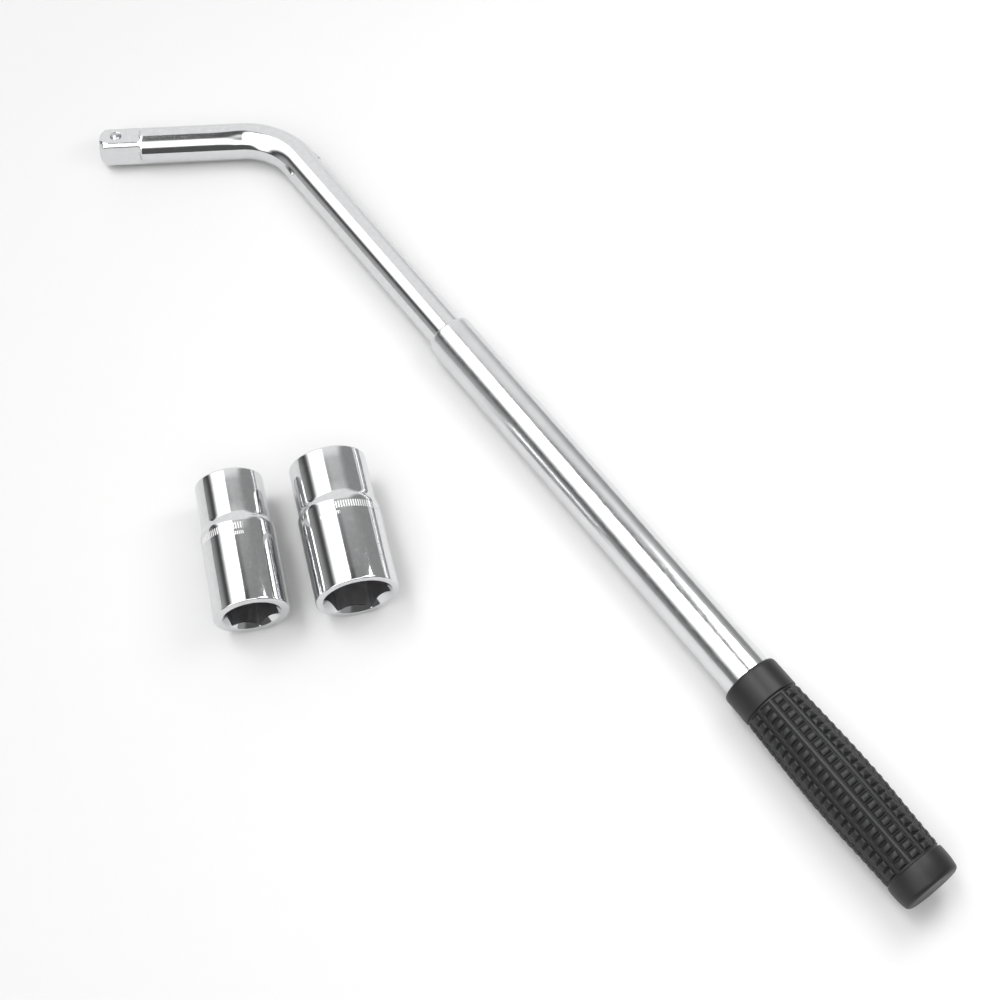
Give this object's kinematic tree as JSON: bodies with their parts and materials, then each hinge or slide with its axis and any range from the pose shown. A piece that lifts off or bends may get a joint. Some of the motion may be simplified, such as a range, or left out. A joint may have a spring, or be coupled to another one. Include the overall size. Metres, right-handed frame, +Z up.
{
  "type": "lug wrench",
  "caption": "Telescopic bent-bar wheel wrench with a sprung-ball square drive, sliding tube handle, ribbed rubber grip and a pair of loose double-ended hexagon sockets.",
  "frame": {"origin": "centre of the footprint of wrench and sockets, on the surface they lie on", "axes": "+X along the drive arm from the square drive to the bend, +Z up from the surface, +Y from the grip towards the arm"},
  "size_m": [0.325, 0.369, 0.0332],
  "materials": {
    "chrome": "polished chrome plate",
    "satin_chrome": "bright chrome over a lightly pitted drawn tube",
    "steel": "plain spring steel",
    "nylon": "natural nylon",
    "rubber": "matte black moulded rubber"
  },
  "bodies": {
    "handle": {"outer_tube": "satin_chrome", "grip": "rubber"},
    "runner": {"friction_sleeve": "nylon"},
    "bar": {"drive_bar": "chrome", "drive_spring": "steel", "retaining_washer": "steel", "retaining_ring": "steel"},
    "ball": {"drive_ball": "chrome"},
    "small_socket": {"socket_17_19": "chrome"},
    "large_socket": {"socket_21_23": "chrome"}
  },
  "joints": [
    {"name": "telescope", "type": "slide", "parent": "handle", "child": "runner", "axis": [0.5548, -0.8319, 0.0136], "range_m": [0, 0.105]},
    {"name": "bar_swivel", "type": "hinge", "parent": "runner", "child": "bar", "pos_m": [-0.00268, 0.05508, 0.01041], "axis": [0.5548, -0.8319, 0.0136], "continuous": true},
    {"name": "ball_detent", "type": "slide", "parent": "bar", "child": "ball", "axis": [0.0054, -0.2372, -0.9715], "range_m": [0, 0.001], "stiffness_N_per_m": 1500, "springref_m": -0.002, "deforming": ["drive_spring"]},
    {"name": "lift_small_socket", "type": "slide", "parent": "handle", "child": "small_socket", "axis": [0, 0, 1], "range_m": [0, 0.08]},
    {"name": "lift_large_socket", "type": "slide", "parent": "handle", "child": "large_socket", "axis": [0, 0, 1], "range_m": [0, 0.08]}
  ]
}
